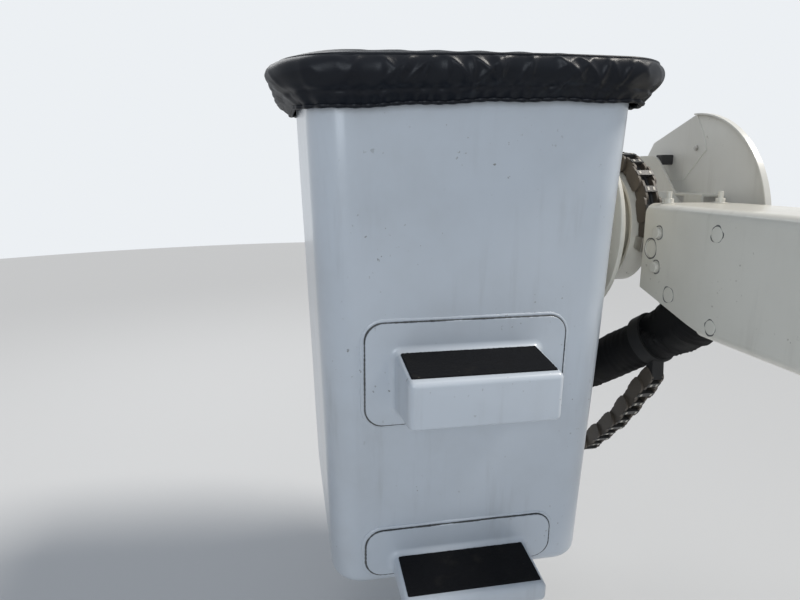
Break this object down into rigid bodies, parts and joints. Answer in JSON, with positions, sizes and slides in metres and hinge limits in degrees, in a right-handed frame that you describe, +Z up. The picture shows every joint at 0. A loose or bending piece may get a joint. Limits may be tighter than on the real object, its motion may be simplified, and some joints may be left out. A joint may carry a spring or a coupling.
{
  "type": "aerial lift bucket with boom tip",
  "caption": "White glass-fibre work bucket with moulded steps, soft cover, levelling hub and the end of its insulated boom.",
  "frame": {"origin": "centre of the boom stub's open rear mouth, where the rest of the boom goes on", "axes": "+X along the boom to its tip, +Y to the side where the bucket hangs, +Z up"},
  "size_m": [1.414, 1.1894, 1.203],
  "materials": {
    "boom_gelcoat": "gloss",
    "hub_paint": "gloss",
    "guard_white": "gloss",
    "bucket_gelcoat": "gloss",
    "steel": "satin",
    "rubber": "matte",
    "sleeve_fabric": "matte",
    "chain_plastic": "matte",
    "grit": "matte",
    "control_grey": "matte",
    "vinyl": "satin"
  },
  "bodies": {
    "boom_tip": {"boom_tube": "boom_gelcoat", "tip_fitting": "hub_paint", "tip_pin": "boom_gelcoat", "tip_bolts": "steel", "top_studs": "boom_gelcoat", "guard_shell": "guard_white", "guard_bracket": "hub_paint", "guard_bumper": "rubber", "hose_sleeve": "sleeve_fabric", "chain_anchor": "steel", "chain_loop": "chain_plastic", "lanyard_anchor": "hub_paint"},
    "bucket": {"hub_shaft": "steel", "chain_drum": "hub_paint", "disc_flange": "hub_paint", "bucket_mount": "hub_paint", "mount_bolts": "steel", "chain_wrap": "chain_plastic", "chain_end": "steel", "bucket_shell": "bucket_gelcoat", "step_upper": "bucket_gelcoat", "step_lower": "bucket_gelcoat", "tread_upper": "grit", "tread_lower": "grit", "control_box": "control_grey", "control_bracket": "hub_paint", "control_lever": "rubber"},
    "cover": {"bucket_cover": "vinyl"}
  },
  "joints": [
    {"name": "bucket_level", "type": "hinge", "parent": "boom_tip", "child": "bucket", "pos_m": [0.99, 0.1, 0.066], "axis": [0, 1, 0], "range_deg": [-25, 75], "deforming": ["chain_loop", "hose_sleeve"]},
    {"name": "cover_lift", "type": "slide", "parent": "bucket", "child": "cover", "axis": [0, 0, 1], "range_m": [0, 0.25]}
  ]
}
